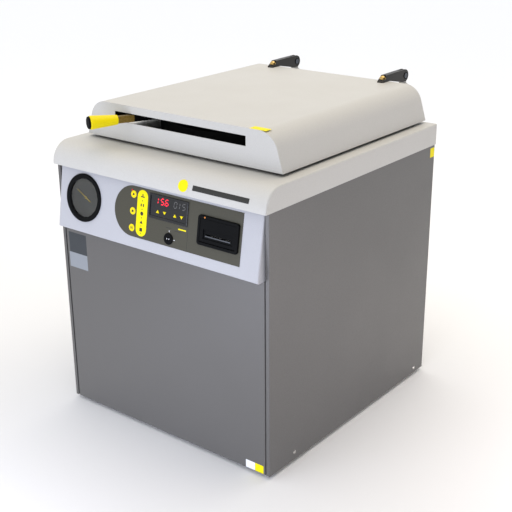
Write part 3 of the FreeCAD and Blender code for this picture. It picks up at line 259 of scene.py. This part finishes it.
# Glass-fibre circuit board: green lacquer.
board_lacquer = grained("board_lacquer", "#1f6a3a", "#185a30", 2.0, 0.35, 0.01)
# Thermal paper wound on its core.
thermal_paper = grained("thermal_paper", "#eeece4", "#e2e0d8", 1.2, 0.8, 0.01)
# Satin stainless steel, spun and brushed round its axis.
spun_stainless = grained("spun_stainless", "#c6c5c2", "#a9a8a5", 1.2, 0.3, 0.004, metallic=1.0,
                         stretch=(0.25, 0.25, 2.0))
# Blackened cast ring under the lid: dull, slightly pitted; its near-black tone is partly painted shade for
# the inside of the lid.
black_iron_and_shade = grained("black_iron_and_shade", "#171717", "#0f0f10", 2.4, 0.8, 0.05, ior=1.3)
# Machined bronze keeper.
bronze = grained("bronze", "#a9854a", "#8c6c38", 1.0, 0.3, 0.004, metallic=1.0)
# Mineral wool wrapped in glass cloth: matt, fibrous.
glass_cloth = grained("glass_cloth", "#d2cfc4", "#b4b1a6", 2.2, 0.9, 0.3)
# Moulded silicone seal: pale, waxy.
silicone = grained("silicone", "#d8d4ca", "#ccc8be", 2.0, 0.55, 0.01)
# Black moulded rubber feet.
black_rubber = grained("black_rubber", "#1b1b1b", "#131313", 1.4, 0.8, 0.03)
# Semi-gloss black stove enamel on the hinge arms, worn a little at the edges.
black_enamel = grained("black_enamel", "#221f1c", "#191715", 2.2, 0.35, 0.02, gleam=0.3)
# Machined brass fittings.
machined_brass = grained("machined_brass", "#c9a052", "#a67f3a", 1.0, 0.28, 0.004, metallic=1.0)
# Near-black sheet inside the lid: painted shade for the dark inside of the lid cover.
painted_shade_lining = grained("painted_shade_lining", "#0d0c0c", "#090808", 3.0, 0.95, 0.05, ior=1.2)
# Dark printing ink for symbols.
dark_ink = grained("dark_ink", "#23231f", "#1b1b18", 0.8, 0.5, 0.001)
# Grey label stock.
grey_label = grained("grey_label", "#8d9298", "#82878d", 0.9, 0.45, 0.001)
# White label stock; also the painted highlights on the key switch barrel.
white_label_and_highlight = grained("white_label_and_highlight", "#eceef2", "#e4e6ea", 0.9, 0.4, 0.001)
# Dark label stock.
dark_label = grained("dark_label", "#33383d", "#2b3035", 0.9, 0.45, 0.001)


def clear_glass_sheet():
    """Float glass over the dial: clear, with a sharp gloss."""
    finish, tree, shader, place = new_finish("float_glass")
    shader.inputs["Base Color"].default_value = sheen("#f4f6f6")
    shader.inputs["Roughness"].default_value = 0.03
    shader.inputs["IOR"].default_value = 1.5
    shader.inputs["Transmission Weight"].default_value = 1.0
    return finish


def lit_segments(name, code, strength):
    """Light-emitting segments behind the window: an even glow of one colour."""
    finish, tree, shader, place = new_finish(name)
    shader.inputs["Base Color"].default_value = sheen(code)
    shader.inputs["Roughness"].default_value = 0.5
    shader.inputs["Emission Color"].default_value = sheen(code)
    shader.inputs["Emission Strength"].default_value = strength
    return finish


def neck_and_painted_shade_bar():
    """Flat steel bar: near-black inside the lid as painted shade, yellow-passivated where its neck shows
    outside.

    The border is a distance from the axis that the lock ring turns on."""
    axis = joints["lock_turn"]["pos_m"]
    finish, tree, shader, place = new_finish("neck_and_painted_shade_bar")
    apart = add(tree, "ShaderNodeVectorMath", {0: place, 1: (axis[0], axis[1], 0.0)},
                operation="SUBTRACT")
    flat = add(tree, "ShaderNodeVectorMath", {0: apart.outputs[0], 1: (1.0, 1.0, 0.0)}, operation="MULTIPLY")
    reach = add(tree, "ShaderNodeVectorMath", {0: flat.outputs[0]}, operation="LENGTH")
    border = add(tree, "ShaderNodeMapRange", {"Value": reach.outputs["Value"], "From Min": 0.280,
                                              "From Max": 0.2815})
    streak = add(tree, "ShaderNodeTexNoise", {"Vector": place, "Scale": 260.0, "Detail": 3.0})
    neck = add(tree, "ShaderNodeValToRGB", {"Fac": streak.outputs["Fac"]})
    neck.color_ramp.elements[0].color = sheen("#6b5626")
    neck.color_ramp.elements[1].color = sheen("#a88c4c")
    # Inside the border the bar is near-black: painted shade for the dark inside of the lid, not a finish of
    # the bar.
    tone = mixed_tone(tree, border.outputs[0], sheen("#0c0b0b"), neck.outputs["Color"])
    tree.links.new(tone, shader.inputs["Base Color"])
    tree.links.new(border.outputs[0], shader.inputs["Metallic"])
    gloss = add(tree, "ShaderNodeMapRange", {"Value": border.outputs[0], "To Min": 0.95, "To Max": 0.4})
    tree.links.new(gloss.outputs[0], shader.inputs["Roughness"])
    shader.inputs["Specular IOR Level"].default_value = 0.02
    return finish


float_glass = clear_glass_sheet()
neck_and_shade_bar_finish = neck_and_painted_shade_bar()
red_segments = lit_segments("red_segments", "#e01030", 1.0)
dim_segments = lit_segments("dim_segments", "#505050", 0.2)

NODE_FINISH = {
    "rubber_feet": black_rubber, "base_tray": zinc_plate, "side_panel_left": grey_textured_coat,
    "side_panel_right": grey_textured_coat, "front_panel": grey_textured_coat,
    "rear_panel": grey_textured_coat, "corner_posts": grey_textured_coat, "panel_screws": bright_nickel,
    "top_cover": white_powder_coat, "fascia_housing": white_abs, "overlay_panel": olive_film,
    "indicator_strip": yellow_film, "status_led": red_lens, "display_bezel": smoked_acrylic,
    "display_window": smoked_acrylic, "gauge_case": black_abs, "gauge_dial": dial_print,
    "gauge_glass": float_glass, "gauge_needle": pointer_paint, "printer_bezel": black_abs,
    "printer_case": black_abs, "printer_door": black_abs, "tear_bar": dull_blade,
    "paper_roll": thermal_paper, "key_switch_collar": black_abs, "key_switch_barrel": black_abs,
    "control_board": board_lacquer, "chamber_vessel": spun_stainless, "chamber_neck": spun_stainless,
    "chamber_skirt": zinc_plate, "insulation_jacket": glass_cloth, "basket_grid": spun_stainless,
    "heater_element": spun_stainless, "hinge_post_left": white_powder_coat,
    "hinge_post_right": white_powder_coat, "pivot_bolts": dark_chrome, "drain_valve": machined_brass,
    "drain_lever": zinc_plate, "vent_spout": machined_brass, "mains_inlet": black_abs,
    "lid_cover": white_powder_coat, "pressure_plate": spun_stainless, "lid_gasket": silicone,
    "ring_keeper": bronze, "lid_posts": zinc_plate, "hinge_arm_left": black_enamel,
    "hinge_arm_right": black_enamel, "arm_bolts": gold_passivate, "lock_ring": black_iron_and_shade,
    "lever_bar": neck_and_shade_bar_finish, "lever_grip": yellow_abs, "grip_cap": black_abs,
    "round_key_top": yellow_abs, "round_key_middle": yellow_abs, "round_key_bottom": yellow_abs,
    "arrow_key_a": yellow_abs, "arrow_key_b": yellow_abs, "arrow_key_c": yellow_abs,
    "arrow_key_d": yellow_abs,
}
for node_name, piece in frame["nodes"].items():
    piece.data.materials.clear()
    piece.data.materials.append(NODE_FINISH[node_name])


# ---------------------------------------------------------------- display digits

SEGMENTS = {"0": "abcdef", "1": "bc", "5": "acdfg", "6": "acdefg"}


def digit(char, across, low, wide, tall, thick):
    """Seven-segment figure: each lit segment is a bar with pointed ends, slanted with the figure."""
    half = tall / 2
    lean = 0.12
    runs = {"a": ((0, tall), (wide, tall)), "b": ((wide, tall), (wide, half)),
            "c": ((wide, half), (wide, 0)), "d": ((0, 0), (wide, 0)),
            "e": ((0, 0), (0, half)), "f": ((0, half), (0, tall)),
            "g": ((0, half), (wide, half))}
    shapes = []
    for letter in SEGMENTS[char]:
        start, end = (np.array(point, float) for point in runs[letter])
        along = (end - start) / np.linalg.norm(end - start)
        side = np.array((-along[1], along[0])) * thick / 2
        start = start + along * thick * 0.35
        end = end - along * thick * 0.35
        body = along * thick * 0.5
        ring = np.array([start, start + body - side, end - body - side, end, end - body + side,
                         start + body + side])
        ring[:, 0] += ring[:, 1] * lean
        shapes.append(ring + np.array((across, low)))
    return shapes


def make_digits():
    """Measured value in bright figures on the left, set value in dim figures on the right."""
    low = 101.6
    tall = 11.6
    bright = []
    for char, across in (("1", 3.8), ("5", 18.6), ("6", 30.2)):
        bright += digit(char, across, low, 7.6, tall, 2.2)
    bright.append(disc(28.3, 101.8, 0.9, 16))
    flat_piece("display_value", bright, WINDOW_FRONT, WINDOW_FRONT + 0.08, "cabinet", red_segments)
    dim = []
    for char, across in (("0", 53.0), ("1", 60.5), ("5", 74.5)):
        dim += digit(char, across, low, 7.0, tall, 1.7)
    flat_piece("display_setting", dim, WINDOW_FRONT, WINDOW_FRONT + 0.08, "cabinet", dim_segments)


# ---------------------------------------------------------------- symbols on the fascia

def make_strip_symbols():
    """Five plain stage symbols down the yellow strip, each with a pin-head lamp under it."""
    middle = STRIP_ACROSS
    symbols = []
    for step, up in enumerate((107.5, 90.8, 74, 57, 41.5)):
        if step == 0:
            symbols += [bar(middle - 5, up - 1.2, middle + 5, up + 1.2, 1.0),
                        disc(middle, up + 3.6, 1.8, 20)]
        elif step == 1:
            symbols += [bar(middle - 4.5, up - 3, middle - 1.5, up + 3, 1.2),
                        bar(middle + 1.5, up - 3, middle + 4.5, up + 3, 1.2)]
        elif step == 2:
            symbols += [disc(middle, up, 4.0, 28)]
        elif step == 3:
            symbols += [np.array([(middle - 4, up - 3.2), (middle + 4, up - 3.2), (middle, up + 3.8)])]
        else:
            symbols += [bar(middle - 3.6, up - 3.6, middle + 3.6, up + 3.6, 0.8)]
    flat_piece("strip_symbols", symbols, STRIP_FRONT, STRIP_FRONT + 0.08, "cabinet", dark_ink)
    lamps = [disc(middle, up, 1.1, 16) for up in (99.5, 82.8, 65.5, 49, 34.5)]
    flat_piece("strip_lamps", lamps, STRIP_FRONT, STRIP_FRONT + 0.35, "cabinet", dark_ink)


def make_key_symbols():
    """Start, stop and hold marks printed on the three round keys."""
    marks = {
        "top": [np.array([(-2, -3), (3.4, 0), (-2, 3)])],
        "middle": [bar(-2.4, -2.4, 2.4, 2.4, 0.4)],
        "bottom": [bar(-2.6, -2.6, -0.8, 2.6, 0.3), bar(0.8, -2.6, 2.6, 2.6, 0.3)],
    }
    for name, shapes in marks.items():
        placed = [shape + np.array((KEY_ACROSS, KEY_UPS[name])) for shape in shapes]
        flat_piece("key_mark_" + name, placed, KEY_FRONT, KEY_FRONT + 0.06, "key_" + name, dark_ink)


def make_overlay_print():
    """Division line, plain bar under the display, the marks and caption bars of the key switch, and painted
    highlights on its barrel.
    """
    top = OVERLAY_FRONT
    flat_piece("overlay_line", [bar(92.2, 26, 92.9, 124)], top, top + 0.05, "cabinet", dark_ink)
    flat_piece("overlay_bar", [bar(68, 61.5, 88, 64, 0.6)], top, top + 0.05, "cabinet", yellow_film)
    marks = [bar(44.9, 52.2, 46.1, 55.6), bar(58.2, 38.2, 61.6, 39.4)]
    flat_piece("switch_marks", marks, top, top + 0.05, "cabinet", white_label_and_highlight)
    faint = [bar(36, 59.5, 50, 60.7), bar(59, 56.6, 73, 57.8)]
    flat_piece("switch_captions", faint, top, top + 0.05, "cabinet", dark_ink)
    # Two small white bars on the barrel face are painted highlights, not print.
    ends = [bar(42.2, 37.6, 43.4, 40.2), bar(47.6, 37.6, 48.8, 40.2)]
    flat_piece("barrel_painted_highlights", ends, BARREL_FRONT, BARREL_FRONT + 0.06, "barrel", white_label_and_highlight)


def make_gauge_scale():
    """Dial scale: short and long ticks at even angles round three quarters of a circle."""
    ticks = []
    for step in range(41):
        angle = math.radians(225 - step * 270 / 40)
        inner = 29.5 if step % 5 == 0 else 32.0
        along = np.array((math.cos(angle), math.sin(angle)))
        side = np.array((-along[1], along[0])) * (0.55 if step % 5 == 0 else 0.3)
        ticks.append(np.array([along * inner - side, along * 35 - side, along * 35 + side,
                               along * inner + side]) + np.array((GAUGE_ACROSS, GAUGE_UP)))
    flat_piece("gauge_scale", ticks, DIAL_FRONT, DIAL_FRONT + 0.1, "cabinet", scale_print)


# ---------------------------------------------------------------- marks and labels on the case

panel_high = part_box("side_panel_right")[1]
front_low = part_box("front_panel")[0]
lid_low, lid_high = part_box("lid_cover")
# The rolled nose, in mm: its radius, how far it hangs over the front, and the cover's height.
NOSE_RADIUS = 44.5
NOSE_REACH = 11
COVER_TALL = 47


def on_nose(across, around, out):
    """Points on the rolled nose: across it, and round its arc from its foot, in mm.

    The arc turns about an axis that runs across the cabinet, NOSE_RADIUS inside the surface."""
    across, around, out = np.broadcast_arrays(np.asarray(across, float), around, out)
    angle = around / NOSE_RADIUS
    back = front_low.y / MM - NOSE_REACH + NOSE_RADIUS - (NOSE_RADIUS + out) * np.cos(angle)
    up = panel_high.z / MM + COVER_TALL - NOSE_RADIUS + (NOSE_RADIUS + out) * np.sin(angle)
    return MM * np.stack([across, back, up], -1)


def on_front(across, up, out):
    """Points on the flat front panel."""
    across, up, out = np.broadcast_arrays(np.asarray(across, float), up, out)
    return np.stack([across * MM, front_low.y - out * MM, up * MM], -1)


def on_right(back, up, out):
    """Points on the right side panel."""
    back, up, out = np.broadcast_arrays(np.asarray(back, float), up, out)
    return np.stack([panel_high.x + out * MM, back * MM, up * MM], -1)


def on_lid(across, back, out):
    """Points on the flat top of the lid."""
    across, back, out = np.broadcast_arrays(np.asarray(across, float), back, out)
    return np.stack([across * MM, back * MM, lid_high.z + out * MM], -1)


def nose_patch(name, left, right, around, finish):
    """Thin film on the curved nose: one strip per row, so that it bends with the surface."""
    grid = np.stack([on_nose(left, around, 0.15), on_nose(right, around, 0.15)], 1)
    film = make_piece(name, grid, strip_faces(len(around)), "cabinet", finish)
    thicken(film, 0.1, 1)


def make_case_marks():
    """A plain disc and bar on the nose, and blank labels where the cabinet carries its plates."""
    rows = np.linspace(-1, 1, 25)
    half = 12 * np.sqrt(np.maximum(1 - rows ** 2, 0.0004))
    nose_patch("nose_disc", 82 - half, 82 + half, 17 + 12 * rows, yellow_film)
    rows = np.linspace(12, 22, 9)
    nose_patch("nose_bar", np.full(9, 106.0), np.full(9, 241.0), rows, dark_ink)
    labels = (
        ("front_label_dark", (-262, 362, -209, 408), "cabinet", dark_label, on_front),
        ("front_label_grey", (-264, 328, -209, 362), "cabinet", grey_label, on_front),
        ("rating_label_white", (220, 9.5, 243, 27), "cabinet", white_label_and_highlight, on_front),
        ("rating_label_yellow", (243.5, 9.5, 264.5, 27), "cabinet", yellow_film, on_front),
        ("side_label", (244.5, 530, 261.5, 551), "cabinet", yellow_film, on_right),
        ("lid_label", (178, -264.5, 217, -246.5), "lid", yellow_film, on_lid),
    )
    for name, edges, body, finish, put in labels:
        flat_piece(name, [bar(*edges)], 0.0, 0.1, body, finish, put=put)
    flat_piece("printer_lamp", [disc(135.8, 99.4, 1.6, 20)], PRINTER_FRONT, PRINTER_FRONT + 0.3,
               "cabinet", amber_lens)


def make_lid_shade_sheet():
    """Painted shade: a near-black bent sheet just inside the lid cover, carried from front to rear.

    Across, it follows the cover: leaning sides, a quarter turn at each shoulder and a flat crown."""
    turn = np.linspace(0, math.radians(73), 14)
    radius = 42.0
    flat_end = 199.0
    crown = 72.6
    shoulder = np.stack([flat_end + radius * np.sin(turn), crown - radius * (1 - np.cos(turn))], 1)
    foot = np.array([[shoulder[-1, 0] + shoulder[-1, 1] * math.tan(math.radians(17)) * 0.96, 1.5]])
    right = np.concatenate([shoulder, foot])
    profile = np.concatenate([right[::-1], right * np.array((-1, 1))])
    profile[:, 0] *= 0.995
    back = np.array([lid_low.y + 1.8 * MM, lid_high.y - 1.8 * MM])
    grid = np.zeros((len(profile), 2, 3))
    grid[..., 0] = profile[:, None, 0] * MM
    grid[..., 1] = back
    grid[..., 2] = lid_low.z + profile[:, None, 1] * MM
    # The sheet's near-black finish is painted shade where the inside of the lid is only shaded.
    shade_sheet = make_piece("lid_shade_sheet", grid, strip_faces(len(profile)), "lid", painted_shade_lining, smooth=True)
    thicken(shade_sheet, 0.6, 0)


make_digits()
make_strip_symbols()
make_key_symbols()
make_overlay_print()
make_gauge_scale()
make_case_marks()
make_lid_shade_sheet()


# ---------------------------------------------------------------- studio

def studio_sheet(name, corners, finish):
    """One flat four-cornered face that belongs to the studio, not to the object."""
    mesh = bpy.data.meshes.new(name)
    mesh.from_pydata(corners, [], [(0, 1, 2, 3)])
    mesh.materials.append(finish)
    sheet = bpy.data.objects.new(name, mesh)
    bpy.context.scene.collection.objects.link(sheet)
    return sheet


def dark_card(name, across, depth, height):
    """An upright black card beside the object that keeps light off its right side; the lens skips it."""
    finish, tree, shader, place = new_finish(name)
    shader.inputs["Base Color"].default_value = (0.02, 0.02, 0.02, 1)
    shader.inputs["Roughness"].default_value = 1.0
    corners = [(across, depth[0], height[0]), (across, depth[0], height[1]),
               (across, depth[1], height[1]), (across, depth[1], height[0])]
    studio_sheet(name, corners, finish).visible_camera = False


def make_floor():
    """Wide pale floor with painted shade: a touch greyer in front of the object than behind it."""
    finish, tree, shader, place = new_finish("pale_floor")
    parted = add(tree, "ShaderNodeSeparateXYZ", {"Vector": place})
    depth = add(tree, "ShaderNodeMapRange", {"Value": parted.outputs["Y"], "From Min": -1.0,
                                             "From Max": 0.8})
    tone = add(tree, "ShaderNodeValToRGB", {"Fac": depth.outputs[0]})
    # The greyer front end of this ramp is painted shade.
    tone.color_ramp.elements[0].color = (0.70, 0.70, 0.70, 1)
    tone.color_ramp.elements[1].color = (0.99, 0.99, 0.99, 1)
    tree.links.new(tone.outputs["Color"], shader.inputs["Base Color"])
    shader.inputs["Roughness"].default_value = 0.9
    reach = 40.0
    corners = [(-reach, -reach, 0), (reach, -reach, 0), (reach, reach, 0), (-reach, reach, 0)]
    studio_sheet("floor", corners, finish)


def soft_light(name, spot, aim, wide, power, code):
    """A square soft box at one place, facing another."""
    light = bpy.data.lights.new(name, "AREA")
    light.size = wide
    light.energy = power
    light.color = sheen(code)[:3]
    lamp = bpy.data.objects.new(name, light)
    lamp.location = spot
    lamp.visible_camera = False
    lamp.rotation_euler = (Vector(aim) - Vector(spot)).to_track_quat("-Z", "Y").to_euler()
    bpy.context.scene.collection.objects.link(lamp)


def make_studio():
    """White surroundings, a warm soft box overhead, cool ones in front and low, and a black card."""
    world = bpy.data.worlds.new("studio")
    world.use_nodes = True
    backdrop = world.node_tree.nodes["Background"]
    backdrop.inputs["Color"].default_value = (0.97, 0.98, 1.0, 1)
    backdrop.inputs["Strength"].default_value = 1.02
    bpy.context.scene.world = world
    soft_light("overhead", (0.2, 0.4, 2.6), (0, 0, 0.5), 2.0, 24, "#ffedd0")
    soft_light("front", (0.9, -2.9, 0.45), (0, 0, 0.35), 1.0, 12.5, "#d2deff")
    soft_light("low_front", (0.0, -1.15, 0.14), (0.0, -0.34, 0.04), 0.8, 6.5, "#dde2f6")
    soft_light("low_right", (1.15, 0.05, 0.14), (0.28, -0.05, 0.04), 0.8, 4.5, "#ece4ea")
    dark_card("side_flag", 1.75, (-0.9, 1.9), (0.45, 2.4))


def make_camera():
    """The camera stands in front and to the right, a little above the lid."""
    azimuth, elevation, roll = (math.radians(angle) for angle in (38.4732, 21.6968, -0.4522))
    back = Vector((math.sin(azimuth) * math.cos(elevation), -math.cos(azimuth) * math.cos(elevation),
                   math.sin(elevation)))
    right = Vector((math.cos(azimuth), math.sin(azimuth), 0))
    up = back.cross(right)
    turned_right = right * math.cos(roll) + up * math.sin(roll)
    turned_up = up * math.cos(roll) - right * math.sin(roll)
    lens = bpy.data.cameras.new("camera")
    lens.sensor_width = 36
    lens.lens = 71.14
    lens.shift_x = 0.000723
    lens.shift_y = 0.019336
    lens.clip_end = 200
    camera = bpy.data.objects.new("camera", lens)
    turn = Matrix((turned_right, turned_up, back)).transposed()
    aim = Vector((10.3066, -37.5, 298.006)) * MM
    away = 2.26884
    spot = aim + back * away
    camera.matrix_world = Matrix.Translation(spot) @ turn.to_4x4()
    bpy.context.scene.collection.objects.link(camera)
    bpy.context.scene.camera = camera


make_floor()
make_studio()
make_camera()
bpy.context.scene.view_settings.view_transform = "Standard"
